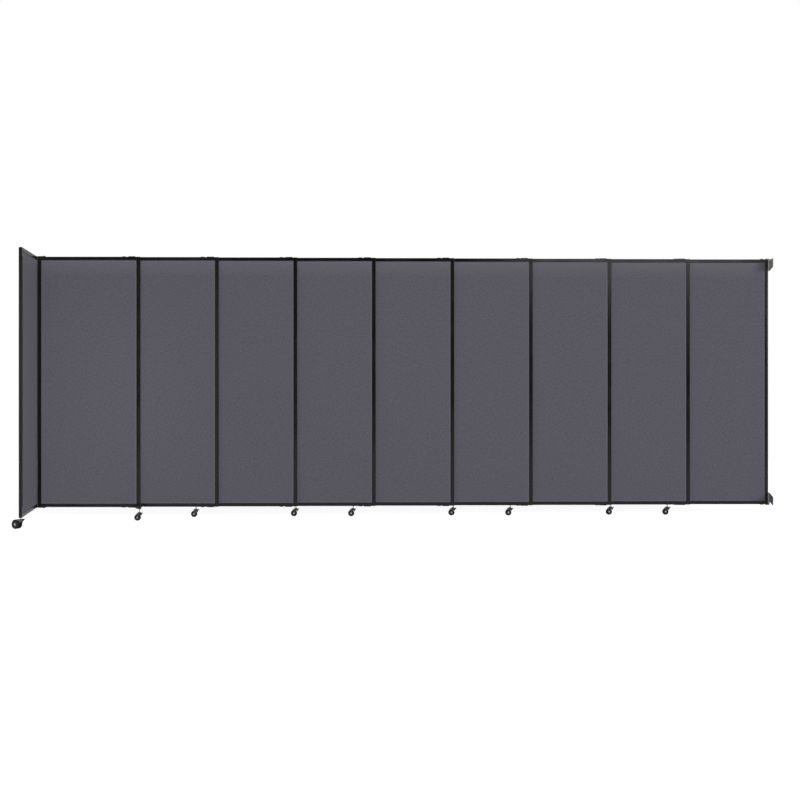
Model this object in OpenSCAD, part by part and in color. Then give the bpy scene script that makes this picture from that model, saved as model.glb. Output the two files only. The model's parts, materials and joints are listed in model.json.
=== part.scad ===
// Telescoping room partition. Nine fabric panels slide past each other and nest, a tenth one,
// the wing, hinges at the left end, and two brackets carry the right end on a wall.
// Millimetres. +X runs along the row towards the wall, +Y away from the front, +Z up from the floor.

/* [Panels] */
// Width of one panel frame
panel_w = 820; // [700:5:1000]
// Height of one panel frame
panel_h = 2004; // [1500:2:2400]
// Thickness of a frame from front to back
frame_t = 25; // [23:0.5:32]
// Overlap of the first two panels as the row is drawn out here
panel_overlap = 196; // [196:1:230]
// Loss of overlap from each pair of panels to the next one towards the wall
overlap_step = 3.7; // [0:0.1:3.7]
// Overlap at which the guides of two panels meet
full_overlap = 170; // [165:1:170]
// Air gap between the faces of neighbouring panels
panel_gap = 5; // [3:0.5:12]
// How far each panel stays short of the one behind it when closed
nest_stagger = 20; // [15:1:25]
// Height of the frames above the floor
ground_clearance = 83; // [80:1:110]

/* [Frame profile] */
// Face width of the upright stiles
stile_w = 29; // [27:0.5:36]
// Face height of the rails
rail_h = 27; // [25:0.5:36]
// Wall of the extruded profiles
wall_t = 1.6; // [1.2:0.1:1.8]
// Rounding of the long edges
edge_r = 2; // [1:0.25:3]
// Depth of the groove that holds the board
groove_d = 9; // [6:0.5:10]
// Thickness of the fabric-wrapped board
board_t = 16; // [12:0.5:17]
// Clearance of the board in its groove
board_gap = 0.3; // [0.2:0.05:0.5]
// Thickness of the end caps on the stiles
cap_t = 2; // [1:0.25:4]
// Depth of the plug under an end cap
cap_plug = 10; // [5:1:20]
// Hairline seam between the members of a frame
seam = 0.1; // [0.05:0.05:0.2]

/* [Slide guides] */
// Width of a lane in the rail
lane_w = 3.2; // [2.6:0.1:4]
// Depth of a lane
lane_d = 7; // [5:0.5:8]
// Distance from the middle of the rail to the middle of a lane
lane_y = 8.5; // [8.2:0.1:9.2]
// Height of a guide above its rail
guide_h = 5; // [4:0.5:9]
// Length of a trailing guide
trail_len = 48; // [30:1:52]
// Length of a leading guide
lead_len = 28; // [20:1:30]
// Length of a stop block
stop_len = 28; // [15:1:29]
// Height of a stop block
stop_h = 4; // [3:0.5:8]
// Distance from a trailing guide to the right end of its panel
guide_inset = 48; // [46:1:52]
// Chamfer of the guides
guide_chamfer = 1.5; // [0.5:0.25:2.5]
// Play on each side of a tongue in its lane
tongue_play = 0.1; // [0.05:0.05:0.4]
// Gap under the bridge of a guide
ride_gap = 0.3; // [0.2:0.05:0.5]
// Gap between a guide and its stop
stop_gap = 0.3; // [0.2:0.05:1]

/* [Hinges] */
// Radius of the pivot pins
pin_r = 4; // [3:0.25:5]
// Depth of a pin in its stile
pin_depth = 30; // [15:1:60]
// Radius of a pin head
pin_head_r = 6.5; // [5.5:0.25:8]
// Height of a pin head
pin_head_h = 2; // [1:0.25:3]
// Running play around a pin, stem or axle
play = 0.05; // [0.03:0.01:0.1]
// Gap between the wing's bull-nosed stile and the first panel
nose_gap = 2.5; // [2:0.25:3]
// Thickness of the hinge plates
leaf_t = 4; // [3:0.5:6]
// Length of a hinge plate on the first panel
leaf_len = 60; // [50:1:62]
// Gap between a plate and the stile that turns on it
lift_gap = 0.3; // [0.2:0.05:0.5]
// Angle of the wing, from in line towards the front
wing_angle = 97.5; // [60:0.5:100]

/* [Wall brackets] */
// Gap between the last panel and the bracket plate
bracket_gap = 5; // [3:0.5:15]
// Thickness of the bracket plate
bracket_t = 4; // [3:0.5:6]
// Thickness of the ear over the stile
ear_t = 5; // [4:0.5:8]
// Reach of the plate towards the front
bracket_reach = 118; // [110:1:200]
// Length of the plate behind the pivot
bracket_back = 14; // [13:1:40]
// Height of the plate at the pivot
bracket_h = 94; // [85:1:120]
// Height of the plate at its front end
bracket_end_h = 67; // [60:1:80]
// Depth of the notch beside the ear of the lower bracket
bracket_notch = 22; // [10:1:24]
// Depth of the notch beside the ear of the upper bracket
upper_notch = 3; // [2:0.5:24]
// Spacing of the screw holes along the plate
screw_pitch_y = 80; // [50:1:82]
// Spacing of the screw holes up the plate
screw_pitch_z = 30; // [20:1:32]
// Distance of the front holes from the end of the plate
screw_inset = 17; // [12:1:25]
// Radius of the screw holes
screw_r = 2.75; // [2:0.25:4]

/* [Small casters] */
// Radius of a wheel
wheel_r = 25; // [20:0.5:26]
// Width of a wheel
wheel_w = 18; // [14:0.5:22]
// Rounding of the tread
tread_r = 4; // [2:0.25:6]
// Distance from stem to axle
trail = 16; // [12:0.5:20]
// Radius of the stem
stem_r = 4; // [3:0.25:4]
// Radius of the axle
axle_r = 4; // [3:0.25:5]
// Side gap between wheel and fork
cheek_gap = 1; // [0.5:0.25:2]
// Thickness of a fork cheek
cheek_t = 3; // [2:0.25:4]
// Height of the fork above the wheel
crown_rise = 16; // [14:0.5:18]
// Distance from the panel's left edge to its left caster
caster_left = 176; // [100:1:250]
// Distance from the panel's right edge to its right caster
caster_right = 182; // [120:1:300]

/* [Wing caster] */
// Radius of a wheel
wing_wheel_r = 33; // [30:0.5:34]
// Width of one of the two wheels
wing_wheel_w = 15; // [12:0.5:18]
// Distance from stem to axle
wing_trail = 33; // [32:0.5:36]
// Thickness of the hood between the wheels
hood_w = 13; // [12:0.5:13]
// Height of the hood above the wheels
hood_rise = 7; // [6:0.5:7.5]
// Radius of the stem
wing_stem_r = 5; // [4:0.25:5.5]
// Direction that the wheels trail in, seen from above
wing_caster_angle = -22; // [-45:1:45]

/* [Outrigger] */
// Reach of the arm in front of the first panel
outrigger_reach = 219; // [150:1:300]
// Sideways offset of the stem from the panel's right edge
outrigger_side = 40; // [20:1:55]
// Width of the arm at its root
outrigger_root_w = 63; // [40:1:70]
// How far the root stands out past the panel's right edge
outrigger_root_out = 13; // [5:1:20]
// Height of the arm at its root
outrigger_h = 28; // [22:1:40]
// Rise of the arm's underside towards the stem
outrigger_rise = 7; // [3:0.5:12]
// Length of the level part of the underside
outrigger_flat = 110; // [20:1:130]
// Radius of the boss around the stem
outrigger_boss_r = 9; // [7:0.5:12]
// Wall of the arm
outrigger_wall = 3; // [2:0.25:4]

/* [Hidden] */
PANELS = 9;
panel_ids = [1:PANELS];
casters = [
    // name, panel, distance from the panel's left edge
    ["panel_2_caster", 2, panel_w - caster_right],
    ["panel_4_left_caster", 4, caster_left],
    ["panel_4_right_caster", 4, panel_w - caster_right],
    ["panel_6_left_caster", 6, caster_left],
    ["panel_6_right_caster", 6, panel_w - caster_right],
    ["panel_8_left_caster", 8, caster_left],
    ["panel_8_right_caster", 8, panel_w - caster_right]
];
caster_names = concat([for (c = casters) c[0]], ["outrigger_caster", "wing_caster"]);

$fn = 64;
EPS = 0.5;
BAND = 0.99;

frame_color = [0.15, 0.15, 0.15];
fabric_color = [0.353, 0.349, 0.38];
nylon_color = [0.08, 0.08, 0.09];
steel_color = [0.3, 0.3, 0.3];
caster_color = [0.17, 0.17, 0.18];
tyre_color = [0.09, 0.09, 0.09];

// Layout of the row
panel_step = frame_t + panel_gap;
rail_len = panel_w - 2 * (stile_w + seam);
board_inset_x = stile_w - groove_d + board_gap;
board_inset_z = rail_h - groove_d + board_gap;
groove_w = board_t + 2 * board_gap;
key_w = lane_w - 2 * tongue_play;
key_room = 1;
key_d = lane_d - key_room;
foot_in = 1;

// Places of the guides along a panel
trail_x = panel_w - guide_inset - trail_len;
lead_x = trail_x - (panel_w - full_overlap) - lead_len;
stop_x = panel_w - guide_inset - nest_stagger + stop_gap;
far_lane_y = panel_step - lane_y;

// Distance of a pivot from the edge of its stile, and the wing's pivot from the first panel's edge
pivot_x = frame_t / 2;
wing_pivot = [-pivot_x - nose_gap, 0];
plate_top = lift_gap + leaf_t;

// Stem of the wing caster, and the chamber that holds its socket
chamber_end = stile_w - groove_d - wall_t;
wing_stem_in = (wall_t + chamber_end) / 2;
socket_wall = 1.2;
socket_flange = 2;
socket_depth = 16;
wing_stem_x = panel_w - pivot_x - wing_stem_in;
wing_stem = wing_pivot - wing_stem_x * [cos(wing_angle), sin(wing_angle)];
wing_axle = wing_stem - wing_trail * [cos(wing_caster_angle), sin(wing_caster_angle)];
wing_wheel_y = (hood_w + wing_wheel_w) / 2 + cheek_gap;
wing_axle_half = wing_wheel_y + wing_wheel_w / 2;
wing_pedal_x = 17;
wing_pedal_pad = [5.7, 8.6];
wing_pedal_pad_r = 5;
wing_pedal_w = 28;

// The origin lies on the floor, under the middle of the whole object's box
box_left = wing_pivot[0] - pivot_x;
box_right = panel_place(PANELS)[0] + panel_w + bracket_gap + bracket_t;
wheel_front = wing_axle[1] - tread_r - (wing_axle_half - tread_r) * cos(wing_caster_angle)
    - (wing_wheel_r - tread_r) * abs(sin(wing_caster_angle));
pedal_front = wing_stem[1] + (wing_pedal_x + wing_pedal_pad[0]) * sin(wing_caster_angle)
    - wing_pedal_w / 2 * cos(wing_caster_angle) - wing_pedal_pad_r * abs(sin(wing_caster_angle));
box_front = min(wheel_front, pedal_front);
box_back = (PANELS - 1) * panel_step + bracket_back;
origin = [(box_left + box_right) / 2, (box_front + box_back) / 2];

// Small caster, in its own frame: stem on the Z axis, floor at zero, axle at -trail
crown_top = 2 * wheel_r + crown_rise;
crown_r = 9.5;
crown_c = [0, crown_top - crown_r];
stem_seat = crown_top - 12;
axle_c = [-trail, wheel_r];
axle_boss_r = 8.5;
cheek_in = wheel_w / 2 + cheek_gap;
cheek_out = cheek_in + cheek_t;
pedal_c = [12, stem_seat];
pedal_hub_r = 4.5;
pedal_ear_r = 5;
pedal_pad = [8.5, 4.2];
pedal_pad_r = 4;
pedal_shoe = [-2, -12];
pedal_shoe_r = 3;
pedal_pin_r = 2;
pedal_gap = 0.4;
pedal_w = 2 * (cheek_in - pedal_gap);
pedal_hub_w = pedal_w - 2;
pedal_room = pedal_hub_r + 1;
wheel_clear = 2.5;
fender_end = [-trail - 0.6 * wheel_r, 2 * wheel_r - 1];
web_end = [-trail, wheel_r + 15];
axle_head_r = 6;
axle_head_t = 1.5;
hub_r = 9;
rim_r = 0.68;
web_half = 0.28;

// Wing caster, in the same kind of frame
hood_top = 2 * wing_wheel_r + hood_rise;
hood_neck_r = 6;
hood_bore = 12;
hood_neck = [0, hood_top - hood_bore];
wing_axle_c = [-wing_trail, wing_wheel_r];
wing_axle_r = 5;
wing_boss_r = 12;
wing_crown_r = 10.5;
wing_crown_h = 10;
fender_gap = 1.5;
fender_t = 2;
fender_from = 55;
fender_to = 145;
fender_set_in = 3;
fender_half = wing_axle_half - fender_set_in;
wing_pedal_c = [wing_pedal_x, hood_top - 11];
wing_pedal_hub_r = 4.6;
wing_pedal_shoe = [-12, -17];
wing_pedal_shoe_r = 3.5;
wing_ear_in = 7.2;
wing_pedal_hub_w = 2 * (wing_ear_in - pedal_gap);
wing_ear_c = [2, hood_top - 8];
wing_ear_r = 4.6;

// Wall brackets
ear_side = frame_t / 2 + 1;
notch_floor = 7;

// Left edge and mid plane of a panel, from those of the first one
function panel_place(i) = [
    (i - 1) * (panel_w - panel_overlap) + overlap_step * (i - 1) * (i - 2) / 2,
    (i - 1) * panel_step
];

// ---- outlines -------------------------------------------------------------------------

// Rectangle from x = 0 to w, centred on y, with round corners
module rounded_rect(w, t, r) {
    translate([r, -t / 2]) square([w - 2 * r, t]);
    translate([0, -t / 2 + r]) square([w, t - 2 * r]);
    for (x = [r, w - r], y = [-t / 2 + r, t / 2 - r]) translate([x, y]) circle(r);
}

module disc(center, radius) {
    translate(center) circle(radius);
}

// Band between the outer tangents of two discs, a hair narrower than they are
module band(a, ra, b, rb) {
    d = b - a;
    dir = atan2(d[1], d[0]);
    tilt = acos(BAND * (ra - rb) / norm(d));
    side = [for (s = [1, -1]) BAND * [cos(dir + s * tilt), sin(dir + s * tilt)]];
    polygon([a + ra * side[0], b + rb * side[0], b + rb * side[1], a + ra * side[1]]);
}

// Outline of a stile from its outer edge, x = 0, to its inner edge
module stile_outline(bull_nosed) {
    if (bull_nosed) {
        translate([pivot_x, 0]) circle(d = frame_t);
        translate([pivot_x, -frame_t / 2]) square([stile_w - pivot_x, frame_t]);
    } else {
        rounded_rect(stile_w, frame_t, edge_r);
    }
}

module pivot_bore() {
    translate([pivot_x, 0]) circle(pin_r + play);
}

// Chamber of a plain stile
module stile_chamber(inset = 0) {
    translate([wall_t + inset, -frame_t / 2 + wall_t + inset])
        square([chamber_end - wall_t - 2 * inset, frame_t - 2 * (wall_t + inset)]);
}

// Chambers of a bull-nosed stile, around the boss of the pivot and its four webs
module nose_chambers() {
    difference() {
        union() {
            translate([pivot_x, 0]) circle(d = frame_t - 2 * wall_t);
            translate([pivot_x, -frame_t / 2 + wall_t])
                square([chamber_end - pivot_x, frame_t - 2 * wall_t]);
        }
        translate([pivot_x, 0]) {
            circle(pin_r + play + wall_t);
            for (a = [45, 135]) rotate(a) square([2 * frame_t, wall_t], center = true);
        }
    }
}

module stile_section(bull_nosed) {
    difference() {
        stile_outline(bull_nosed);
        translate([stile_w - groove_d, -groove_w / 2]) square([groove_d + EPS, groove_w]);
        if (bull_nosed) {
            pivot_bore();
            nose_chambers();
        } else {
            stile_chamber();
        }
    }
}

// Section of a rail: x runs from the outer face inwards, y across the thickness
module rail_section() {
    inner = rail_h - groove_d - wall_t;
    lane_side = lane_y - lane_w / 2 - wall_t;
    difference() {
        rounded_rect(rail_h, frame_t, edge_r / 2);
        translate([rail_h - groove_d, -groove_w / 2]) square([groove_d + EPS, groove_w]);
        for (side = [-1, 1])
            translate([-EPS, side * lane_y - lane_w / 2]) square([lane_d + EPS, lane_w]);
        translate([wall_t, -lane_side]) square([inner - wall_t, 2 * lane_side]);
        translate([lane_d + wall_t, -frame_t / 2 + wall_t])
            square([inner - lane_d - wall_t, frame_t - 2 * wall_t]);
    }
}

// ---- placing --------------------------------------------------------------------------

// A panel's own frame: left edge at x = 0, mid plane at y = 0, underside at z = 0
module at_panel(i) {
    place = panel_place(i) - origin;
    translate([place[0], place[1], ground_clearance]) children();
}

// The wing's own frame: a panel's frame turned about the wing pivot
module at_wing() {
    place = wing_pivot - origin;
    translate([place[0], place[1], ground_clearance])
        rotate([0, 0, wing_angle])
            translate([-panel_w + pivot_x, 0, 0]) children();
}

// A caster's frame: stem on the Z axis, floor at z = 0
module at_caster(point, angle = 0) {
    place = point - origin;
    translate([place[0], place[1], 0]) rotate([0, 0, angle]) children();
}

// Children drawn on the top edge of a panel and, mirrored, on its bottom edge; z = 0 is the edge
module on_both_edges() {
    translate([0, 0, panel_h]) children();
    mirror([0, 0, 1]) children();
}

// Upright plate from an outline drawn in x and z, centred on y
module plate_xz(width) {
    rotate([90, 0, 0]) linear_extrude(width, center = true) children();
}

// Bar along x from an outline drawn in y and z
module bar_x(length) {
    rotate([90, 0, 90]) linear_extrude(length) children();
}

module from_right() {
    translate([panel_w, 0, 0]) mirror([1, 0, 0]) children();
}

// ---- frames and boards ----------------------------------------------------------------

module stile(bull_nosed) {
    translate([0, 0, cap_t + seam])
        linear_extrude(panel_h - 2 * (cap_t + seam)) stile_section(bull_nosed);
}

// Cap on a stile's end, with a plug in the chamber, or a bore where a pin or a socket goes in
module stile_cap(bull_nosed, socket) {
    difference() {
        union() {
            translate([0, 0, -cap_t]) linear_extrude(cap_t) stile_outline(bull_nosed);
            if (!bull_nosed && !socket)
                translate([0, 0, -cap_t - cap_plug])
                    linear_extrude(cap_plug) stile_chamber(board_gap / 2);
        }
        if (bull_nosed)
            translate([0, 0, -cap_t - EPS]) linear_extrude(cap_t + 2 * EPS) pivot_bore();
        if (socket)
            translate([wing_stem_in, 0, -cap_t - EPS])
                cylinder(h = cap_t + 2 * EPS, r = wing_stem_r + play + socket_wall + play);
    }
}

module rail(stem_places) {
    difference() {
        translate([panel_w - stile_w - seam, 0, 0])
            rotate([0, -90, 0]) linear_extrude(rail_len) rail_section();
        for (x = stem_places)
            translate([x, 0, -EPS]) cylinder(h = wall_t + 2 * EPS, r = stem_r + socket_wall + 2 * play);
    }
}

// Plastic bush that a caster's stem turns in, with a flange under the frame
module stem_socket(radius) {
    difference() {
        union() {
            translate([0, 0, -socket_flange])
                cylinder(h = socket_flange - seam, r = radius + play + 2 * socket_wall);
            translate([0, 0, -socket_flange])
                cylinder(h = socket_flange + socket_depth, r = radius + play + socket_wall);
        }
        translate([0, 0, -socket_flange - EPS])
            cylinder(h = socket_depth + socket_flange + 2 * EPS, r = radius + play);
    }
}

// Stiles, rails and caps; the right stile is bull-nosed where the frame turns on pins
module frame_members(nose_right, stem_places, socket_left) {
    stile(false);
    from_right() stile(nose_right);
    rail(stem_places);
    translate([0, 0, panel_h]) mirror([0, 0, 1]) rail([]);
    translate([0, 0, panel_h]) stile_cap(false, false);
    mirror([0, 0, 1]) stile_cap(false, socket_left);
    on_both_edges() from_right() stile_cap(nose_right, false);
    for (x = stem_places) translate([x, 0, 0]) stem_socket(stem_r);
    if (socket_left) translate([wing_stem_in, 0, 0]) stem_socket(wing_stem_r);
}

module panel_frame(i) {
    color(frame_color) at_panel(i)
        frame_members(i == PANELS, [for (c = casters) if (c[1] == i) c[2]], false);
}

module wing_frame() {
    color(frame_color) at_wing() frame_members(true, [], true);
}

module board() {
    translate([board_inset_x, -board_t / 2, board_inset_z])
        cube([panel_w - 2 * board_inset_x, board_t, panel_h - 2 * board_inset_z]);
}

module panel_fabric(i) {
    color(fabric_color) at_panel(i) board();
}

module wing_fabric() {
    color(fabric_color) at_wing() board();
}

// ---- slide guides ---------------------------------------------------------------------

// Foot keyed in the panel's own lane, a bridge over the gap, and a tongue in the next panel's lane
module guide_outline() {
    edge = far_lane_y + key_w / 2;
    polygon([
        [foot_in, 0],
        [lane_y - key_w / 2, 0],
        [lane_y - key_w / 2, -key_d],
        [lane_y + key_w / 2, -key_d],
        [lane_y + key_w / 2, 0],
        [frame_t / 2, 0],
        [frame_t / 2, ride_gap],
        [far_lane_y - key_w / 2, ride_gap],
        [far_lane_y - key_w / 2, -key_d],
        [edge, -key_d],
        [edge, guide_h - guide_chamfer],
        [edge - guide_chamfer, guide_h],
        [foot_in + guide_chamfer, guide_h],
        [foot_in, guide_h - guide_chamfer]
    ]);
}

// Block keyed in the front lane, which the guide of the panel in front runs up against
module stop_outline() {
    polygon([
        [-foot_in, 0],
        [-lane_y + key_w / 2, 0],
        [-lane_y + key_w / 2, -key_d],
        [-lane_y - key_w / 2, -key_d],
        [-lane_y - key_w / 2, 0],
        [-frame_t / 2 + edge_r, 0],
        [-frame_t / 2 + edge_r, stop_h - guide_chamfer],
        [-frame_t / 2 + edge_r + guide_chamfer, stop_h],
        [-foot_in - guide_chamfer, stop_h],
        [-foot_in, stop_h - guide_chamfer]
    ]);
}

module panel_guides(i) {
    color(nylon_color) at_panel(i) on_both_edges() {
        if (i < PANELS)
            translate([trail_x + stop_gap, 0, 0]) bar_x(trail_len - stop_gap) guide_outline();
        if (i > 1)
            translate([lead_x, 0, 0]) mirror([0, 1, 0]) bar_x(lead_len) guide_outline();
        translate([stop_x, 0, 0]) bar_x(stop_len) stop_outline();
    }
}

// ---- wing hinge and wall brackets -----------------------------------------------------

module pivot_pin(top) {
    translate([0, 0, -pin_depth]) cylinder(h = pin_depth + top, r = pin_r);
    translate([0, 0, top]) cylinder(h = pin_head_h, r = pin_head_r);
}

// Plates on the first panel's edges, each with a nose over the wing's stile and a pin down into it
module wing_hinge_plates() {
    color(steel_color) at_panel(1) on_both_edges() {
        translate([0, 0, seam]) linear_extrude(plate_top - seam)
            translate([0, -frame_t / 2]) square([leaf_len, frame_t]);
        translate([0, 0, lift_gap]) linear_extrude(leaf_t) {
            disc(wing_pivot, frame_t / 2);
            translate([wing_pivot[0], -frame_t / 2]) square([pivot_x - wing_pivot[0], frame_t]);
        }
        translate([wing_pivot[0], 0, 0]) pivot_pin(plate_top);
    }
}

// Bracket for the top edge: a plate on the wall, and an ear with a pin over the stile
module wall_bracket(notch) {
    ear_top = lift_gap + ear_t;
    plate_x = panel_w + bracket_gap;
    difference() {
        translate([plate_x, 0, 0]) bar_x(bracket_t) polygon([
            [bracket_back, ear_top],
            [bracket_back, -bracket_h],
            [-ear_side, -bracket_h],
            [-bracket_reach, -bracket_end_h],
            [-bracket_reach, 0],
            [-ear_side - notch_floor, -notch],
            [-ear_side, -notch],
            [-ear_side, ear_top]
        ]);
        for (j = [0, 1], k = [-1, 1])
            translate([
                plate_x - EPS,
                -bracket_reach + screw_inset + j * screw_pitch_y,
                -(bracket_end_h + bracket_notch) / 2 + k * screw_pitch_z / 2
            ])
                rotate([0, 90, 0]) cylinder(h = bracket_t + 2 * EPS, r = screw_r);
    }
    translate([0, 0, lift_gap]) linear_extrude(ear_t) {
        translate([panel_w - pivot_x, 0]) circle(d = frame_t);
        translate([panel_w - pivot_x, -frame_t / 2]) square([pivot_x + bracket_gap + bracket_t, frame_t]);
    }
    translate([panel_w - pivot_x, 0, 0]) pivot_pin(ear_top);
}

module wall_bracket_top() {
    color(steel_color) at_panel(PANELS) translate([0, 0, panel_h]) wall_bracket(upper_notch);
}

module wall_bracket_bottom() {
    color(steel_color) at_panel(PANELS) mirror([0, 0, 1]) wall_bracket(bracket_notch);
}

// ---- outrigger ------------------------------------------------------------------------

outrigger_tip = [panel_w + outrigger_side, -frame_t / 2 - outrigger_reach];
outrigger_fall = 3;
outrigger_tip_h = outrigger_h - outrigger_fall;

// Plan of the arm, drawn in by a wall all round
module outrigger_plan(inset) {
    root_right = panel_w + outrigger_root_out;
    polygon([
        [root_right - outrigger_root_w + inset, -frame_t / 2 - 2 * inset],
        [root_right - inset, -frame_t / 2 - 2 * inset],
        outrigger_tip + [outrigger_boss_r - inset, 0],
        outrigger_tip - [outrigger_boss_r - inset, 0]
    ]);
}

// Tapered channel, open below, from the front of the first panel to a boss for the stem
module outrigger_arm() {
    end_y = outrigger_tip[1] - outrigger_boss_r;
    color(frame_color) at_panel(1) difference() {
        intersection() {
            union() {
                linear_extrude(outrigger_h) outrigger_plan(0);
                translate(outrigger_tip) cylinder(h = outrigger_h, r = outrigger_boss_r);
            }
            bar_x(2 * panel_w) polygon([
                [-frame_t / 2, 0],
                [-frame_t / 2 - outrigger_flat, 0],
                [end_y, outrigger_rise],
                [end_y, outrigger_tip_h],
                [-frame_t / 2, outrigger_h]
            ]);
        }
        difference() {
            translate([0, 0, -EPS])
                linear_extrude(outrigger_tip_h - outrigger_wall + EPS) outrigger_plan(outrigger_wall);
            translate(outrigger_tip) cylinder(h = outrigger_h, r = outrigger_boss_r);
        }
        translate([outrigger_tip[0], outrigger_tip[1], -EPS])
            cylinder(h = outrigger_h + 2 * EPS, r = stem_r + play);
    }
}

// ---- small casters --------------------------------------------------------------------

// Profile of a wheel, drawn as radius and half width
module wheel_profile(radius, width, bore) {
    half = width / 2;
    difference() {
        union() {
            translate([bore, -half]) square([hub_r - bore, width]);
            translate([bore, -web_half * width]) square([radius * rim_r, 2 * web_half * width]);
            translate([radius * rim_r, -half]) square([radius - tread_r - radius * rim_r, width]);
            translate([radius * rim_r, -half + tread_r]) square([radius * (1 - rim_r), width - 2 * tread_r]);
            for (side = [-1, 1]) translate([radius - tread_r, side * (half - tread_r)]) circle(tread_r);
        }
        translate([-EPS, -width]) square([bore + EPS, 2 * width]);
    }
}

module wheel(radius, width, bore) {
    rotate([90, 0, 0]) rotate_extrude($fn = 96) wheel_profile(radius, width, bore);
}

module small_wheel() {
    color(tyre_color) translate([axle_c[0], 0, axle_c[1]]) wheel(wheel_r, wheel_w, axle_r + play);
}

// Side of the fork: a leg to the axle and an ear for the pedal
module cheek_outline() {
    band(axle_c, axle_boss_r, crown_c, crown_r);
    band(crown_c, crown_r, pedal_c, pedal_ear_r);
    disc(axle_c, axle_boss_r);
    disc(crown_c, crown_r);
    disc(pedal_c, pedal_ear_r);
}

// Crown between the cheeks, running out over the wheel as a fender
module crown_outline() {
    difference() {
        polygon([
            fender_end,
            [-crown_r, crown_top],
            [pedal_c[0] - pedal_room, crown_top],
            [pedal_c[0] - pedal_room, stem_seat],
            web_end
        ]);
        translate(axle_c) circle(wheel_r + wheel_clear);
    }
}

module pin_y(center, radius, half) {
    translate([center[0], 0, center[1]]) rotate([90, 0, 0]) cylinder(h = 2 * half, r = radius, center = true);
}

module headed_axle(center, radius, half) {
    pin_y(center, radius, half);
    for (side = [-1, 1])
        translate([0, side * (half - axle_head_t / 2), 0]) pin_y(center, axle_head_r, axle_head_t / 2);
}

// Fork with its stem up to stem_top, its axle and the pin of its pedal
module small_fork(stem_top) {
    color(caster_color) {
        difference() {
            union() {
                for (side = [-1, 1])
                    translate([0, side * (cheek_in + cheek_out) / 2, 0]) plate_xz(cheek_t) cheek_outline();
                plate_xz(2 * cheek_in) crown_outline();
            }
            pin_y(axle_c, axle_r + play, cheek_out + EPS);
            pin_y(pedal_c, pedal_pin_r + play, cheek_out + EPS);
            translate([0, 0, stem_seat]) cylinder(h = crown_top - stem_seat + EPS, r = stem_r + play);
        }
        headed_axle(axle_c, axle_r, cheek_out + play + axle_head_t);
        pin_y(pedal_c, pedal_pin_r, cheek_out);
        translate([0, 0, stem_seat + play]) cylinder(h = stem_top - stem_seat - play, r = stem_r);
    }
}

// Brake pedal: hub, pad to press with the foot, and shoe above the tread
module pedal_outline(hub, hub_r, pad, pad_r, shoe, shoe_r) {
    band(hub, hub_r, pad, pad_r);
    band(hub, hub_r, shoe, shoe_r);
    disc(hub, hub_r);
    disc(pad, pad_r);
    disc(shoe, shoe_r);
}

// Pedal whose pad and shoe are wider than its hub
module pedal(hub, hub_r, pad, pad_r, shoe, shoe_r, hub_width, width) {
    difference() {
        union() {
            plate_xz(hub_width) pedal_outline(hub, hub_r, hub + pad, pad_r, hub + shoe, shoe_r);
            plate_xz(width) {
                disc(hub + pad, pad_r);
                disc(hub + shoe, shoe_r);
            }
        }
        pin_y(hub, pedal_pin_r + play, width);
    }
}

module small_pedal() {
    color(caster_color)
        pedal(pedal_c, pedal_hub_r, pedal_pad, pedal_pad_r, pedal_shoe, pedal_shoe_r,
            pedal_hub_w, pedal_w);
}

// ---- wing caster ----------------------------------------------------------------------

module wing_wheel() {
    color(tyre_color) for (side = [-1, 1])
        translate([wing_axle_c[0], side * wing_wheel_y, wing_axle_c[1]])
            wheel(wing_wheel_r, wing_wheel_w, wing_axle_r + play);
}

// Part of a disc about the axle, over the top of the wheels
module fender_sector(radius) {
    far = 2 * radius;
    translate(wing_axle_c) intersection() {
        circle(radius);
        polygon([
            [0, 0],
            far * [cos(fender_from), sin(fender_from)],
            [0, far],
            far * [cos(fender_to), sin(fender_to)]
        ]);
    }
}

// Room for the two wheels on either side of the hood
module wheel_room() {
    for (side = [-1, 1])
        translate([0, side * (hood_w / 2 + wing_wheel_w), 0])
            pin_y(wing_axle_c, wing_wheel_r + fender_gap, wing_wheel_w);
}

// Hood between the wheels, with its crown, the fenders and the ears of the pedal
module hood_body() {
    plate_xz(hood_w) {
        band(wing_axle_c, wing_boss_r, hood_neck, hood_neck_r);
        disc(wing_axle_c, wing_boss_r);
        disc(hood_neck, hood_neck_r);
        fender_sector(wing_wheel_r + fender_gap + fender_t);
    }
    difference() {
        union() {
            plate_xz(2 * fender_half) fender_sector(wing_wheel_r + fender_gap + fender_t);
            translate([0, 0, hood_top - wing_crown_h]) cylinder(h = wing_crown_h, r = wing_crown_r);
            for (side = [-1, 1])
                translate([0, side * (wing_ear_in + cheek_t / 2), 0]) plate_xz(cheek_t) {
                    band(wing_ear_c, wing_ear_r, wing_pedal_c, wing_ear_r);
                    disc(wing_ear_c, wing_ear_r);
                    disc(wing_pedal_c, wing_ear_r);
                }
        }
        wheel_room();
    }
}

module wing_fork() {
    color(caster_color) {
        difference() {
            hood_body();
            pin_y(wing_axle_c, wing_axle_r + play, wing_axle_half);
            pin_y(wing_pedal_c, pedal_pin_r + play, wing_axle_half);
            translate([0, 0, hood_top - hood_bore]) cylinder(h = hood_bore + EPS, r = wing_stem_r + play);
        }
        headed_axle(wing_axle_c, wing_axle_r, wing_axle_half + play + axle_head_t);
        pin_y(wing_pedal_c, pedal_pin_r, wing_ear_in + cheek_t);
        translate([0, 0, hood_top - hood_bore + play])
            cylinder(h = ground_clearance + socket_depth - hood_top + hood_bore - play, r = wing_stem_r);
    }
}

module wing_pedal() {
    color(caster_color)
        pedal(wing_pedal_c, wing_pedal_hub_r, wing_pedal_pad, wing_pedal_pad_r,
            wing_pedal_shoe, wing_pedal_shoe_r, wing_pedal_hub_w, wing_pedal_w);
}

// ---- the object -----------------------------------------------------------------------

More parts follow.
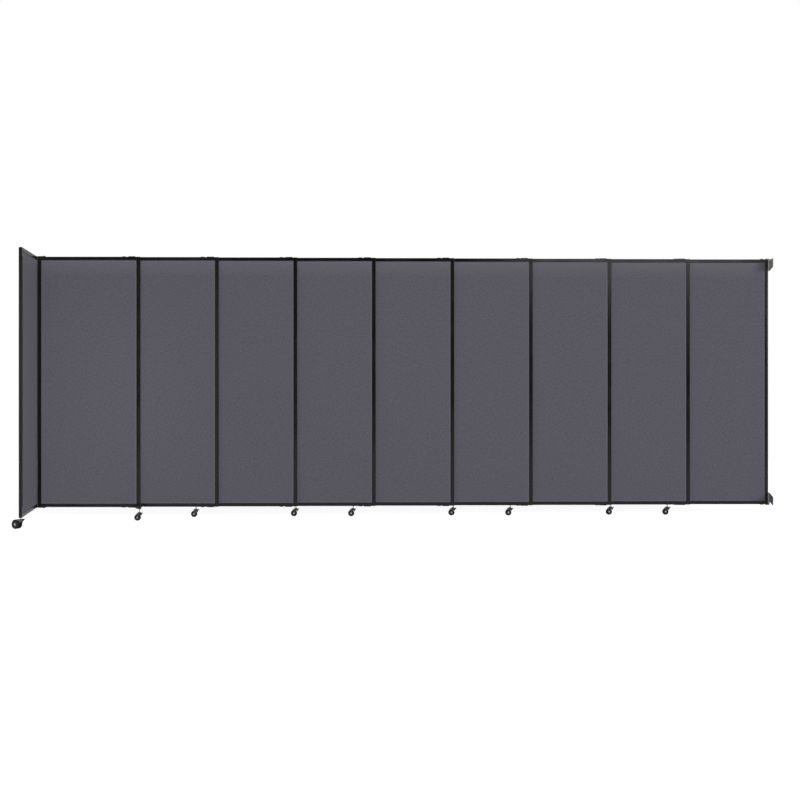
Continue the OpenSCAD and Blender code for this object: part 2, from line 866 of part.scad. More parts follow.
for (i = panel_ids) {
    panel_frame(i);
    panel_fabric(i);
    panel_guides(i);
}
wing_frame();
wing_fabric();
wing_hinge_plates();
outrigger_arm();
wall_bracket_top();
wall_bracket_bottom();

for (c = casters) at_caster(panel_place(c[1]) + [c[2], 0]) {
    small_fork(ground_clearance + socket_depth);
    small_wheel();
    small_pedal();
}
at_caster(outrigger_tip) {
    small_fork(ground_clearance + outrigger_tip_h);  // outrigger_caster_fork
    small_wheel();  // outrigger_caster_wheel
    small_pedal();  // outrigger_caster_pedal
}
at_caster(wing_stem, wing_caster_angle) {
    wing_fork();  // wing_caster_fork
    wing_wheel();  // wing_caster_wheel
    wing_pedal();  // wing_caster_pedal
}
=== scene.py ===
import json
import math

import bmesh
import bpy
from mathutils import Matrix, Vector


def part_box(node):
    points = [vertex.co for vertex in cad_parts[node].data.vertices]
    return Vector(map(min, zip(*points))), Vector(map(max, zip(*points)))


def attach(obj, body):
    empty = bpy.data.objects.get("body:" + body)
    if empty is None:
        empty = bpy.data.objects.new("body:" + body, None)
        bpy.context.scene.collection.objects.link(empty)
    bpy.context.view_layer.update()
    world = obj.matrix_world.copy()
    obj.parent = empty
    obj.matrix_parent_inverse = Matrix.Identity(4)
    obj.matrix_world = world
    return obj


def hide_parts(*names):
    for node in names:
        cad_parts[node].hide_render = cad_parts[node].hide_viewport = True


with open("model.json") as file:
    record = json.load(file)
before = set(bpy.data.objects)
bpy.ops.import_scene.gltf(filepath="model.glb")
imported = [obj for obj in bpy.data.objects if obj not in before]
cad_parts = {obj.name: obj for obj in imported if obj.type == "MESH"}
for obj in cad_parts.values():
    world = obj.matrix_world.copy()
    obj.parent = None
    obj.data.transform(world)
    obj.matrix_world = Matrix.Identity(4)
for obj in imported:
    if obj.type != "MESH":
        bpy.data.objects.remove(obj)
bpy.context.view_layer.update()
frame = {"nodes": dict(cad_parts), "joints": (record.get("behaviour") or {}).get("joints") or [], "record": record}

# ---- what the frame says ----------------------------------------------------------------
MM = 0.001
PANELS = 9
PANEL_IDS = range(1, PANELS + 1)
joint_at = {j["name"]: Vector(j["pos_m"]) for j in frame["joints"] if "pos_m" in j}

plain_lo, plain_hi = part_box("panel_3_frame")
PANEL_W = plain_hi.x - plain_lo.x
FRAME_T = plain_hi.y - plain_lo.y
EDGE_LOW, EDGE_TOP = plain_lo.z, plain_hi.z
PIVOT_IN = FRAME_T / 2
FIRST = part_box("panel_1_frame")[0]
FIRST_MID_Y = FIRST.y + FRAME_T / 2


def panel_matrix(i):
    """A panel's own frame: left edge at x = 0, middle plane at y = 0, z from the floor."""
    lo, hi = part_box(f"panel_{i}_frame")
    return Matrix.Translation((lo.x, (lo.y + hi.y) / 2, 0))


def wing_matrix():
    """The wing's own frame, laid out like a panel's: free end at x = 0, hinge at the right."""
    hinge, stem = joint_at["wing_hinge"], joint_at["wing_caster_swivel"]
    angle = math.atan2(hinge.y - stem.y, hinge.x - stem.x)
    turn = Matrix.Rotation(angle, 4, "Z")
    return Matrix.Translation((hinge.x, hinge.y, 0)) @ turn @ Matrix.Translation((PIVOT_IN - PANEL_W, 0, 0))


def caster_matrix(name):
    """A caster's own frame: stem on the z axis, floor at zero, wheel trailing towards -x."""
    stem, axle = joint_at[f"{name}_swivel"], joint_at[f"{name}_roll"]
    angle = math.atan2(stem.y - axle.y, stem.x - axle.x)
    return Matrix.Translation((stem.x, stem.y, 0)) @ Matrix.Rotation(angle, 4, "Z")


# ---- camera -------------------------------------------------------------------------------
CAMERA_RIGHT = 2.8995  # from the first panel's left edge
CAMERA_BACK = 10.5  # from the first panel's middle plane
CAMERA_HEIGHT = 1.1325
SENSOR = 36.0
PICTURE = 800
FOCAL_PX = 1310.8
HORIZON_PX = 376


def make_camera():
    data = bpy.data.cameras.new("camera")
    data.sensor_width = SENSOR
    data.lens = FOCAL_PX / PICTURE * SENSOR
    data.shift_y = (HORIZON_PX - PICTURE / 2) / PICTURE
    data.clip_end = 200
    camera = bpy.data.objects.new("camera", data)
    camera.location = (FIRST.x + CAMERA_RIGHT, FIRST_MID_Y - CAMERA_BACK, CAMERA_HEIGHT)
    camera.rotation_euler = (math.radians(90), 0, 0)
    bpy.context.collection.objects.link(camera)
    bpy.context.scene.camera = camera


# ---- node materials -----------------------------------------------------------------------
class Nodes:
    """Short calls for making one node tree."""

    def __init__(self, tree):
        self.tree = tree
        tree.nodes.clear()

    def add(self, kind, inputs=None, **settings):
        node = self.tree.nodes.new(kind)
        for key, value in settings.items():
            setattr(node, key, value)
        for key, value in (inputs or {}).items():
            self.put(node.inputs[key], value)
        return node

    def put(self, socket, value):
        if isinstance(value, bpy.types.NodeSocket):
            self.tree.links.new(value, socket)
        else:
            socket.default_value = value

    def math(self, operation, a, b=0.0):
        return self.add("ShaderNodeMath", {0: a, 1: b}, operation=operation).outputs[0]

    def noise(self, vector, scale, detail=2.0, roughness=0.5):
        node = self.add("ShaderNodeTexNoise", {"Vector": vector, "Scale": scale, "Detail": detail,
                                               "Roughness": roughness})
        return node.outputs["Fac"]

    def stretch(self, vector, scale):
        node = self.add("ShaderNodeMapping", {"Vector": vector, "Scale": scale})
        return node.outputs[0]

    def mix(self, factor, a, b):
        node = self.add("ShaderNodeMix", data_type="RGBA")
        self.put(node.inputs[0], factor)
        self.put(node.inputs[6], a)
        self.put(node.inputs[7], b)
        return node.outputs[2]

    def remap(self, value, low, high, to_low, to_high):
        node = self.add("ShaderNodeMapRange", {"Value": value, "From Min": low, "From Max": high,
                                               "To Min": to_low, "To Max": to_high})
        return node.outputs[0]

    def bump(self, height, strength, distance):
        node = self.add("ShaderNodeBump", {"Height": height, "Strength": strength, "Distance": distance})
        return node.outputs[0]

    def shader(self, **inputs):
        named = {key.replace("_", " "): value for key, value in inputs.items()}
        node = self.add("ShaderNodeBsdfPrincipled", named)
        out = self.add("ShaderNodeOutputMaterial")
        self.tree.links.new(node.outputs[0], out.inputs[0])


def new_material(name):
    material = bpy.data.materials.new(name)
    material.use_nodes = True
    return material, Nodes(material.node_tree)


def times(factor, colour):
    """The same colour, brighter or darker."""
    return tuple(factor * c for c in colour[:3]) + (1.0,)


def linear(*srgb):
    """A colour given as 0 to 255 per channel, as the shader wants it."""
    values = [c / 255 for c in srgb]
    return tuple(c / 12.92 if c <= 0.04045 else ((c + 0.055) / 1.055) ** 2.4 for c in values) + (1.0,)


# noise scales are per metre, and bump depths are in metres
PEEL = 900.0
PEEL_DEPTH = 0.0002
PATCHES = 6.0
MOULD_GRAIN = 1600.0
MOULD_DEPTH = 0.0002
TURNING = (300.0, 300.0, 3000.0)
TURNING_DEPTH = 0.0001


def powder_coat(name, colour, roughness):
    """Satin paint on an extrusion: fine orange peel, and a roughness that wanders a little."""
    material, n = new_material(name)
    place = n.add("ShaderNodeTexCoord").outputs["Object"]
    fine = n.noise(place, PEEL, 3.0)
    wide = n.noise(place, PATCHES, 4.0)
    n.shader(
        Base_Color=n.mix(n.remap(wide, 0.35, 0.65, 0.0, 1.0), colour, times(1.5, colour)),
        Roughness=n.remap(n.math("ADD", wide, n.math("MULTIPLY", fine, 0.4)), 0.4, 0.9,
                          roughness - 0.04, roughness + 0.05),
        Normal=n.bump(fine, 0.12, PEEL_DEPTH),
    )
    return material


def moulded_plastic(name, colour, roughness):
    """Moulded plastic with a fine spark-eroded grain."""
    material, n = new_material(name)
    place = n.add("ShaderNodeTexCoord").outputs["Object"]
    grain = n.noise(place, MOULD_GRAIN, 2.0)
    cloud = n.noise(place, 60.0, 3.0)
    n.shader(
        Base_Color=n.mix(n.remap(cloud, 0.3, 0.7, 0.0, 1.0), times(0.75, colour), colour),
        Roughness=n.remap(cloud, 0.3, 0.7, roughness - 0.05, roughness + 0.08),
        Normal=n.bump(grain, 0.25, MOULD_DEPTH),
    )
    return material


def bright_steel(name, tint, roughness):
    """Zinc-plated steel with turning marks."""
    material, n = new_material(name)
    place = n.add("ShaderNodeTexCoord").outputs["Object"]
    lines = n.noise(n.stretch(place, TURNING), 1.0, 2.0)
    cloud = n.noise(place, 120.0, 3.0)
    n.shader(
        Base_Color=n.mix(cloud, times(0.8, tint), tint),
        Metallic=0.75,
        Roughness=n.remap(lines, 0.3, 0.7, roughness - 0.06, roughness + 0.08),
        Normal=n.bump(lines, 0.1, TURNING_DEPTH),
    )
    return material


RIM_SHARE = 0.685  # where the tyre starts, as a share of the wheel's radius
DUST = 220.0
RUBBER_GRAIN = 1800.0
RUBBER_DEPTH = 0.0002


def wheel_finish(name, tyre, disc):
    """Dusty black tyre on a grey disc, told apart by the distance from the axle."""
    axle, axis = joint_at[f"{name}_roll"], caster_matrix(name).col[1].to_3d()
    material, n = new_material(f"{name}_rubber")
    place = n.add("ShaderNodeTexCoord").outputs["Object"]
    arm = n.add("ShaderNodeVectorMath", {0: place, 1: axle}, operation="SUBTRACT").outputs[0]
    along = n.add("ShaderNodeVectorMath", {0: arm, 1: axis}, operation="DOT_PRODUCT").outputs["Value"]
    length = n.add("ShaderNodeVectorMath", {0: arm}, operation="LENGTH").outputs["Value"]
    square = n.math("SUBTRACT", n.math("MULTIPLY", length, length), n.math("MULTIPLY", along, along))
    on_tyre = n.math("GREATER_THAN", square, (RIM_SHARE * axle.z) ** 2)
    dust = n.noise(place, DUST, 4.0)
    rubber = n.mix(n.remap(dust, 0.5, 0.75, 0.0, 1.0), tyre, times(2.2, tyre))
    n.shader(
        Base_Color=n.mix(on_tyre, disc, rubber),
        Roughness=n.remap(dust, 0.3, 0.7, 0.42, 0.62),
        Specular_IOR_Level=0.25,
        Normal=n.bump(n.noise(place, RUBBER_GRAIN, 2.0), 0.2, RUBBER_DEPTH),
    )
    return material


YARN = 0.0011
FUZZ = 2600.0
SLUB_ALONG, SLUB_ACROSS = 45.0, 700.0
CLOUD = 85.0
WEAVE_DEPTH = 0.0003
# name of the board's edge band, where the cloth is painted paler as a highlight
PAINTED_EDGE_LIGHT = "painted_edge_light"


def panel_cloth(name, dark, body, light):
    """Heathered plain weave with a painted highlight: paler in a band along the board's edge, which also lightens
    the shade beside the frame. The UV map is in metres.
    """
    material, n = new_material(name)
    place = n.add("ShaderNodeUVMap").outputs[0]
    split = n.add("ShaderNodeSeparateXYZ", {0: place})
    across = n.math("SINE", n.math("MULTIPLY", split.outputs[0], 2 * math.pi / YARN))
    along = n.math("SINE", n.math("MULTIPLY", split.outputs[1], 2 * math.pi / YARN))
    weave = n.math("MULTIPLY", across, along)
    fuzz = n.noise(place, FUZZ, 3.0)
    warp = n.noise(n.stretch(place, (SLUB_ACROSS, SLUB_ALONG, 1.0)), 1.0, 3.0, 0.6)
    weft = n.noise(n.stretch(place, (SLUB_ALONG, SLUB_ACROSS, 1.0)), 1.0, 3.0, 0.6)
    fleck = n.math("MULTIPLY", n.math("ADD", warp, weft), 0.5)
    cloud = n.noise(place, CLOUD, 4.0, 0.6)
    tone = n.math("ADD", n.math("MULTIPLY", fleck, 0.7), n.math("MULTIPLY", cloud, 0.3))
    low = n.mix(n.remap(tone, 0.36, 0.5, 0.0, 1.0), dark, body)
    both = n.mix(n.remap(tone, 0.5, 0.66, 0.0, 1.0), low, light)
    # painted highlight: the edge band is mixed towards the light tone
    painted_edge_light = n.add("ShaderNodeAttribute", attribute_name=PAINTED_EDGE_LIGHT).outputs["Fac"]
    with_painted_highlight = n.mix(n.math("MULTIPLY", painted_edge_light, 0.45), both, light)
    height = n.math("ADD", n.math("MULTIPLY", weave, 0.5), fuzz)
    n.shader(
        Base_Color=n.mix(n.remap(weave, -1.0, 1.0, 0.0, 0.16), with_painted_highlight, dark),
        Roughness=0.95,
        Specular_IOR_Level=0.1,
        Sheen_Weight=0.07,
        Sheen_Roughness=0.5,
        Normal=n.bump(height, 0.5, WEAVE_DEPTH),
    )
    return material


SMALL_CASTERS = ["outrigger_caster", "panel_2_caster"]
SMALL_CASTERS += [f"panel_{i}_{side}_caster" for i in (4, 6, 8) for side in ("left", "right")]


def make_materials():
    cloth_tones = linear(73, 72, 81), linear(92, 91, 99.5), linear(113, 112, 121)
    materials = {
        "frame": powder_coat("black_powder_coat", linear(14, 14, 13), 0.18),
        "arm": powder_coat("black_steel_paint", linear(24, 24, 23), 0.32),
        "hinge": powder_coat("black_hinge_paint", linear(18, 18, 18), 0.3),
        # One paint on both wall brackets: the top one gets a lighter, warmer copy as painted light, and the bottom
        # one a darker, cooler copy as painted shade.
        "wall_bracket_top": powder_coat("bracket_paint_painted_light", linear(124, 123, 117), 0.38),
        "wall_bracket_bottom": powder_coat("bracket_paint_painted_shade", linear(88, 91, 96), 0.38),
        "fabric": panel_cloth("heather_fabric", *cloth_tones),
        "guide": moulded_plastic("black_nylon", linear(22, 22, 23), 0.42),
        "caster_fork": moulded_plastic("caster_grey_plastic", linear(52, 52, 54), 0.38),
        "wing_caster_fork": moulded_plastic("hood_grey_plastic", linear(118, 118, 120), 0.36),
        "caster_pedal": moulded_plastic("pedal_plastic", linear(20, 20, 20), 0.4),
        "steel": bright_steel("zinc_steel", (0.88, 0.88, 0.87, 1.0), 0.36),
        "cap": bright_steel("hub_cap_steel", (0.8, 0.8, 0.8, 1.0), 0.22),
    }
    tyre = linear(10, 10, 10)
    for name in SMALL_CASTERS:
        materials[f"{name}_wheel"] = wheel_finish(name, tyre, linear(46, 46, 48))
    materials["wing_caster_wheel"] = wheel_finish("wing_caster", tyre, linear(64, 64, 66))
    return materials


def dress_cad_nodes(materials):
    """Each node gets the finish under its own name, or else its slot's."""
    slot_of = {s["node"]: s["material_slot"] for s in frame["record"]["subparts"]}
    for name, node in frame["nodes"].items():
        node.data.materials.clear()
        node.data.materials.append(materials.get(name) or materials[slot_of[name]])


# ---- meshes -------------------------------------------------------------------------------
def new_piece(name, body, material, vertices, faces, smooth_angle):
    mesh = bpy.data.meshes.new(name)
    mesh.from_pydata(vertices, [], faces)
    mesh.update()
    mesh.materials.append(material)
    piece = bpy.data.objects.new(name, mesh)
    bpy.context.collection.objects.link(piece)
    mesh.shade_smooth()
    mesh.set_sharp_from_angle(angle=math.radians(smooth_angle))
    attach(piece, body)
    return piece


def grid_lines(length, edge_steps, spacing):
    """Positions from 0 to length: close together by the two edges, even in between."""
    inner = length - 2 * edge_steps[-1]
    count = max(1, round(inner / spacing))
    middle = [edge_steps[-1] + inner * k / count for k in range(1, count)]
    return list(edge_steps) + middle + [length - d for d in reversed(edge_steps)]


# how far the board's face stands out, by distance from the board's edge
LIP = 8.7 * MM
IN_GROOVE = 7.8 * MM
CROWN = 9.4 * MM
SHOULDER = 5 * MM
# width of the board's edge band that gets the painted highlight
PAINTED_EDGE_LIGHT_END = 19 * MM
BOARD_STEPS = [d * MM for d in (0, 7.5, 8.7, 9.6, 10.8, 12.2, 13.7, 16, 19)]
BOARD_SPACING = 0.12
UV_GAP = 0.1
SMOOTH_BOARD, SMOOTH_TURNED = 40, 35


def board_half_thickness(distance):
    rise = min(1.0, max(0.0, (distance - LIP) / SHOULDER))
    return IN_GROOVE + (CROWN - IN_GROOVE) * math.sin(rise * math.pi / 2)


def make_board(name, body, node, matrix, size, material):
    """A fabric-wrapped board with a soft shoulder all round, where it leaves the frame's groove."""
    width, height, x0, z0 = size
    xs = grid_lines(width, BOARD_STEPS, BOARD_SPACING)
    zs = grid_lines(height, BOARD_STEPS, BOARD_SPACING)
    vertices, uvs, painted_edge_lights, faces = [], [], [], []
    for side in (-1, 1):
        for z in zs:
            for x in xs:
                distance = min(x, width - x, z, height - z)
                y = side * board_half_thickness(distance)
                vertices.append(matrix @ Vector((x0 + x, y, z0 + z)))
                uvs.append((x, z) if side < 0 else (x + width + UV_GAP, z))
                # edge band for the painted highlight in the cloth
                painted_edge_lights.append(1.0 if distance < PAINTED_EDGE_LIGHT_END else 0.0)
    row, layer = len(xs), len(xs) * len(zs)

    def index(side, i, j):
        return side * layer + j * row + i

    for j in range(len(zs) - 1):
        for i in range(row - 1):
            ring = [index(0, i, j), index(0, i + 1, j), index(0, i + 1, j + 1), index(0, i, j + 1)]
            faces.append(ring)
            faces.append([k + layer for k in reversed(ring)])
    for i in range(row - 1):
        top = len(zs) - 1
        faces.append([index(1, i, 0), index(1, i + 1, 0), index(0, i + 1, 0), index(0, i, 0)])
        faces.append([index(0, i, top), index(0, i + 1, top), index(1, i + 1, top), index(1, i, top)])
    for j in range(len(zs) - 1):
        end = row - 1
        faces.append([index(0, 0, j), index(0, 0, j + 1), index(1, 0, j + 1), index(1, 0, j)])
        faces.append([index(1, end, j), index(1, end, j + 1), index(0, end, j + 1), index(0, end, j)])
    piece = new_piece(name, body, material, vertices, faces, SMOOTH_BOARD)
    layer_uv = piece.data.uv_layers.new(name="metres")
    for loop in piece.data.loops:
        layer_uv.data[loop.index].uv = uvs[loop.vertex_index]
    piece.data.attributes.new(PAINTED_EDGE_LIGHT, "FLOAT", "POINT").data.foreach_set("value", painted_edge_lights)
    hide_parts(node)


def make_boards(materials):
    lo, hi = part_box("panel_3_fabric")
    inset = lo.x - plain_lo.x
    size = (hi.x - lo.x, hi.z - lo.z, inset, lo.z)
    for i in PANEL_IDS:
        make_board(f"panel_{i}_board", f"panel_{i}", f"panel_{i}_fabric", panel_matrix(i), size,
                   materials["fabric"])
    make_board("wing_board", "wing", "wing_fabric", wing_matrix(), size, materials["fabric"])


ROUND, HEX = 0, 6


def ring_radius(radius, sides, angle):
    """Radius of a round ring, or of a polygon with that many flats and radius to its flats."""
    if sides == ROUND:
        return radius
    sector = 2 * math.pi / sides
    return radius / math.cos((angle + sector / 2) % sector - sector / 2)


def turned_mesh(rings, matrix, segments=24):
    """Closed surface through rings of (radius, height, sides), capped at both ends."""
    vertices, faces = [], []
    for radius, height, sides in rings:
        for k in range(segments):
            angle = 2 * math.pi * k / segments
            r = ring_radius(radius, sides, angle)
            vertices.append(matrix @ Vector((r * math.cos(angle), r * math.sin(angle), height)))
    for j in range(len(rings) - 1):
        for k in range(segments):
            a, b = j * segments + k, j * segments + (k + 1) % segments
            faces.append([a, b, b + segments, a + segments])
    faces.append(list(reversed(range(segments))))
    last = (len(rings) - 1) * segments
    faces.append(list(range(last, last + segments)))
    return vertices, faces


def turned_group(name, body, material, rings, matrices, segments=24):
    """One piece that holds a copy of the same turned part at each matrix."""
    vertices, faces = [], []
    for matrix in matrices:
        v, f = turned_mesh(rings, matrix, segments)
        faces += [[k + len(vertices) for k in face] for face in f]
        vertices += v
    new_piece(name, body, material, vertices, faces, SMOOTH_TURNED)


def screw_rings(head_r, head_h, socket_r):
    """Button head with a hexagon socket, its underside at height zero."""
    rings = [(head_r * 0.9, 0, ROUND), (head_r, head_h * 0.15, ROUND)]
    for k in range(1, 6):
        angle = k / 6 * math.pi / 2
        rings.append((head_r * math.cos(angle) ** 0.7, head_h * (0.15 + 0.85 * math.sin(angle)), ROUND))
    rings = [r for r in rings if r[0] > socket_r * 1.25]
    rings.append((socket_r * 1.2, head_h, ROUND))
    rings.append((socket_r, head_h * 0.97, HEX))
    rings.append((socket_r * 0.96, head_h * 0.35, HEX))
    rings.append((socket_r * 0.3, head_h * 0.3, HEX))
    return rings


def up(matrix, x, y, z):
    return matrix @ Matrix.Translation((x, y, z))


def down(matrix, x, y, z):
    return matrix @ Matrix.Translation((x, y, z)) @ Matrix.Rotation(math.pi, 4, "X")


PIN_HEAD_H = 2 * MM
PLATE_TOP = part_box("wing_hinge_plates")[1].z - PIN_HEAD_H
PLATE_SCREWS = (14 * MM, 30 * MM)
PLATE_KNOB = 48 * MM
PLATE_SCREW = (5 * MM, 2.4 * MM, 2 * MM)  # head radius, head height, socket radius
KNOB = (6 * MM, 5 * MM, 3 * MM)  # radius, height, rim


def make_plate_screws(materials):
    """Two button screws on each hinge plate, and a taller knob at its end."""
    rings = screw_rings(*PLATE_SCREW)
    knob = dome_rings(*KNOB)
    panel = panel_matrix(1)
    low, top = EDGE_LOW + EDGE_TOP - PLATE_TOP, PLATE_TOP
    places = [up(panel, x, 0, top) for x in PLATE_SCREWS] + [down(panel, x, 0, low) for x in PLATE_SCREWS]
    turned_group("hinge_plate_screws", "panel_1", materials["hinge"], rings, places)
    turned_group("hinge_plate_knobs", "panel_1", materials["hinge"], knob,
                 [up(panel, PLATE_KNOB, 0, top), down(panel, PLATE_KNOB, 0, low)])


GUIDE_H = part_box("panel_3_guides")[1].z - EDGE_TOP
TRAIL_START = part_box("panel_1_guides")[0].x - FIRST.x
TRAIL_LEN = 47.7 * MM
LEAD_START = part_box("panel_9_guides")[0].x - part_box("panel_9_frame")[0].x
LEAD_LEN = 28 * MM
GUIDE_SCREW_IN = 8 * MM
GUIDE_FOOT_Y = 6.5 * MM
GUIDE_SCREW = (3.1 * MM, 1.6 * MM, 1.2 * MM)
GUIDE_SCREW_SEGMENTS = 18


def make_guide_screws(materials):
    rings = screw_rings(*GUIDE_SCREW)
    low, top = EDGE_LOW - GUIDE_H, EDGE_TOP + GUIDE_H
    for i in PANEL_IDS:
        m = panel_matrix(i)
        spots = []
        if i < PANELS:
            spots += [(TRAIL_START + d, GUIDE_FOOT_Y) for d in (GUIDE_SCREW_IN, TRAIL_LEN - GUIDE_SCREW_IN)]
        if i > 1:
            spots += [(LEAD_START + d, -GUIDE_FOOT_Y) for d in (GUIDE_SCREW_IN, LEAD_LEN - GUIDE_SCREW_IN)]
        places = [up(m, x, y, top) for x, y in spots] + [down(m, x, y, low) for x, y in spots]
        turned_group(f"panel_{i}_guide_screws", f"panel_{i}", materials["steel"], rings, places,
                     GUIDE_SCREW_SEGMENTS)


# each caster: top of its crown, stem radius, half the axle's length, hub cap's radius and height
SMALL_TRIM = (66 * MM, 4 * MM, 14.6 * MM, 6.0 * MM, 1.8 * MM)
WING_TRIM = (73 * MM, 5 * MM, 24.1 * MM, 7.5 * MM, 3 * MM)
SLEEVE_OUT = 0.35 * MM
THREAD_PITCH, THREAD_DEPTH = 1.25 * MM, 0.3 * MM
NUT_OUT, NUT_H = 2.4 * MM, 3.2 * MM
SOCKET_LIP = -2.1 * MM  # where a stem ends in the frame's socket, from the frame's lower edge
ARM_SOCKET = 5 * MM  # and in the outrigger arm


def thread_rings(radius, low, high, pitch, depth):
    """A stem with ridges like a thread's, closed at both ends."""
    rings = [(radius * 0.6, low, ROUND), (radius - depth, low, ROUND)]
    count = max(1, round((high - low) / pitch))
    for k in range(count):
        z = low + (high - low) * k / count
        rings.append((radius - depth, z + pitch * 0.1, ROUND))
        rings.append((radius, z + pitch * 0.5, ROUND))
    rings += [(radius - depth, high, ROUND), (radius * 0.6, high, ROUND)]
    return rings


def nut_rings(flats_r, height):
    return [(flats_r * 0.7, 0, ROUND), (flats_r * 0.96, 0, HEX), (flats_r, height * 0.12, HEX),
            (flats_r, height * 0.88, HEX), (flats_r * 0.96, height, HEX), (flats_r * 0.7, height, ROUND)]


def dome_rings(radius, height, rim):
    """A low cap with a straight rim and a rounded top."""
    rings = [(radius * 0.7, 0, ROUND), (radius, 0, ROUND), (radius, rim, ROUND)]
    for k in range(1, 6):
        angle = k / 5 * math.pi / 2 * 0.96
        rings.append((radius * math.cos(angle), rim + (height - rim) * math.sin(angle), ROUND))
    return rings


def make_caster_trim(name, materials, trim, stem_high):
    """Bright stem, lock nut on the crown, and a cap on each end of the axle."""
    crown_top, stem_r, axle_end, cap_r, cap_h = trim
    m = caster_matrix(name)
    axle = m.inverted() @ joint_at[f"{name}_roll"]
    body = f"{name}_fork"
    turned_group(f"{name}_stem_sleeve", body, materials["steel"],
                 thread_rings(stem_r + SLEEVE_OUT, crown_top, stem_high, THREAD_PITCH, THREAD_DEPTH), [m])
    turned_group(f"{name}_lock_nut", body, materials["steel"],
                 nut_rings(stem_r + NUT_OUT, NUT_H), [up(m, 0, 0, crown_top)])
    caps = []
    for side in (-1, 1):
        turn = Matrix.Rotation(-side * math.pi / 2, 4, "X")
        caps.append(m @ Matrix.Translation((axle.x, side * axle_end, axle.z)) @ turn)
    turned_group(f"{name}_axle_caps", body, materials["cap"],
                 dome_rings(cap_r, cap_h, cap_h * 0.3), caps)


def make_caster_trims(materials):
    for name in SMALL_CASTERS:
        high = EDGE_LOW + (ARM_SOCKET if name == "outrigger_caster" else SOCKET_LIP)
        make_caster_trim(name, materials, SMALL_TRIM, high)
    make_caster_trim("wing_caster", materials, WING_TRIM, EDGE_LOW + SOCKET_LIP)


# ---- stage and light ----------------------------------------------------------------------
FLOOR_R = 9.0
FLOOR_GLOW = 0.76  # for the camera, so that the floor is as white as the backdrop
FLOOR_SHEEN = 0.2  # the share of that glow in reflections
FLOOR_GREY = 0.65


def make_floor():
    mesh = bpy.data.meshes.new("floor")
    form = bmesh.new()
    bmesh.ops.create_circle(form, cap_ends=True, segments=96, radius=FLOOR_R)
    form.to_mesh(mesh)
    form.free()
    floor = bpy.data.objects.new("floor", mesh)
    bpy.context.collection.objects.link(floor)
    material, n = new_material("white_floor")
    matt = n.add("ShaderNodeBsdfDiffuse", {"Color": (FLOOR_GREY, FLOOR_GREY, FLOOR_GREY, 1.0)})
    path = n.add("ShaderNodeLightPath")
    mirrored = n.math("MULTIPLY", path.outputs["Is Glossy Ray"], FLOOR_SHEEN)
    seen = n.math("MULTIPLY", n.math("MAXIMUM", path.outputs["Is Camera Ray"], mirrored), FLOOR_GLOW)
    glow = n.add("ShaderNodeEmission", {"Color": (1.0, 1.0, 1.0, 1.0), "Strength": seen})
    both = n.add("ShaderNodeAddShader", {0: matt.outputs[0], 1: glow.outputs[0]})
    n.add("ShaderNodeOutputMaterial", {"Surface": both.outputs[0]})
    mesh.materials.append(material)


AMBIENT = 0.27
# what gloss sees of the studio, to the sides, behind the row and in front of it
GLOSS_SIDE = 0.8
GLOSS_BACK = 0.33
GLOSS_FRONT = 0.03
SIDE_ENDS, MIDDLE_STARTS = 0.88, 0.96


def make_world():
    """White to the camera and even for matt surfaces. Gloss sees a dark studio in front of the row."""
    world = bpy.data.worlds.new("studio")
    bpy.context.scene.world = world
    world.use_nodes = True
    n = Nodes(world.node_tree)
    direction = n.add("ShaderNodeTexCoord").outputs["Generated"]
    split = n.add("ShaderNodeSeparateXYZ", {0: direction})
    facing = n.math("ABSOLUTE", split.outputs[1])
    away = n.math("GREATER_THAN", split.outputs[1], 0.0)
    middle = n.remap(away, 0.0, 1.0, GLOSS_FRONT - GLOSS_SIDE, GLOSS_BACK - GLOSS_SIDE)
    blend = n.remap(facing, SIDE_ENDS, MIDDLE_STARTS, 0.0, 1.0)
    gloss = n.math("ADD", n.math("MULTIPLY", blend, middle), GLOSS_SIDE)
    path = n.add("ShaderNodeLightPath")
    level = n.math("ADD", n.math("MULTIPLY", path.outputs["Is Glossy Ray"], gloss),
                   n.math("MULTIPLY", n.math("SUBTRACT", 1.0, path.outputs["Is Glossy Ray"]), AMBIENT))
    shown = n.math("MAXIMUM", level, path.outputs["Is Camera Ray"])
    background = n.add("ShaderNodeBackground", {"Color": (1.0, 1.0, 1.0, 1.0), "Strength": shown})
    n.add("ShaderNodeOutputWorld", {"Surface": background.outputs[0]})


def place_lamp(data, place, aim, in_gloss):
    lamp = bpy.data.objects.new(data.name, data)
    lamp.location = place
    lamp.rotation_euler = (Vector(aim) - Vector(place)).to_track_quat("-Z", "Y").to_euler()
    lamp.visible_glossy = in_gloss
    bpy.context.collection.objects.link(lamp)


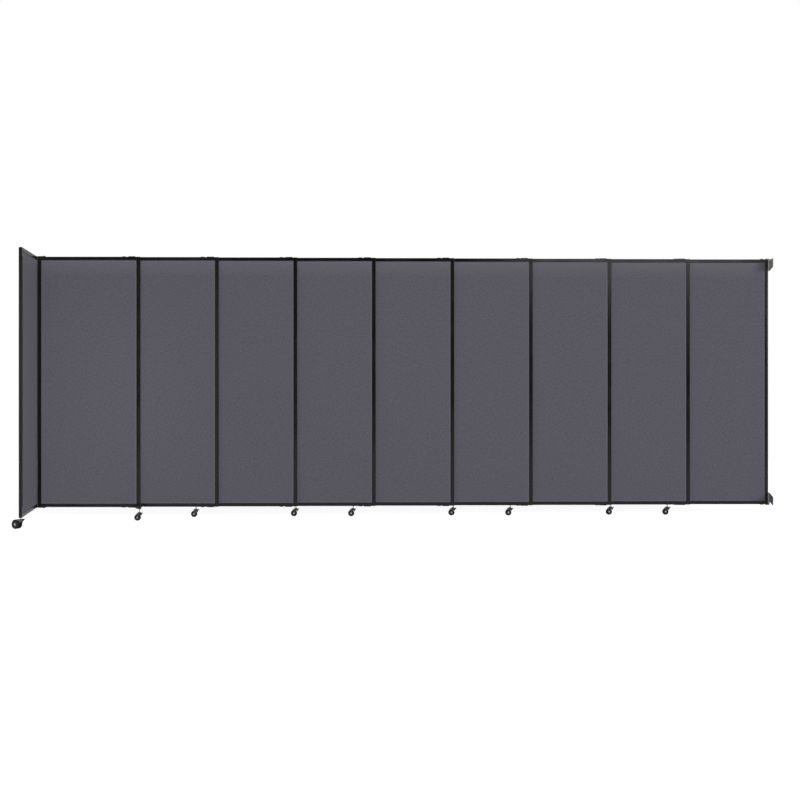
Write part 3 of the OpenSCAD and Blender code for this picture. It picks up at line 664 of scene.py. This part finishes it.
def add_soft_box(name, place, aim, size, radiance, in_gloss=True):
    """A rectangular soft box whose face has the given radiance."""
    data = bpy.data.lights.new(name, "AREA")
    data.shape = "RECTANGLE"
    data.size, data.size_y = size
    data.energy = radiance * math.pi * size[0] * size[1]
    place_lamp(data, place, aim, in_gloss)


def add_spot(name, place, aim, cone_deg, watts):
    data = bpy.data.lights.new(name, "SPOT")
    data.energy = watts
    data.spot_size = math.radians(cone_deg)
    data.spot_blend = 1.0
    data.shadow_soft_size = SPOT_SIZE
    place_lamp(data, place, aim, False)


SUN_SPREAD = 20
SPOT_SIZE = 0.5


def add_far_light(name, azimuth, elevation, strength, shadow=True):
    """Broad light from far away. Azimuth 0 is straight in front of the row, and positive to its right."""
    data = bpy.data.lights.new(name, "SUN")
    data.energy = strength
    data.angle = math.radians(SUN_SPREAD)
    data.use_shadow = shadow
    a, e = math.radians(azimuth), math.radians(elevation)
    toward = (math.sin(a) * math.cos(e), -math.cos(a) * math.cos(e), math.sin(e))
    place_lamp(data, toward, (0, 0, 0), False)


def make_lights():
    """Keys from the right, fills for the left end, strips and a panel for the frames' gloss, a back fill."""
    add_far_light("right_key", 45, 15, 1.4)
    add_far_light("front_key", 15, 15, 0.55)
    add_soft_box("front_left", (-1.0, -9.0, 2.0), (-1.5, 0.3, 1.0), (3.0, 2.4), 4.8, False)
    add_spot("corner", (1.0, -7.5, 1.4), (-2.75, 0.1, 0.9), 18, 400)
    add_soft_box("side_strip", (5.6, -3.4, 1.75), (0.5, 0.3, 1.4), (0.5, 0.8), 14.0)
    add_soft_box("right_panel", (3.4, -8.0, 2.95), (2.0, 0.4, 1.9), (3.6, 0.9), 2.0)
    add_soft_box("left_strip", (-3.15, -9.0, 1.35), (-2.86, -0.6, 1.1), (0.4, 2.6), 1.6)
    add_far_light("back_fill", 195, 5, 2.2, False)


# ---- the scene ----------------------------------------------------------------------------
bpy.context.scene.view_settings.view_transform = "Standard"
make_camera()
materials = make_materials()
dress_cad_nodes(materials)
make_boards(materials)
make_plate_screws(materials)
make_guide_screws(materials)
make_caster_trims(materials)
make_floor()
make_world()
make_lights()
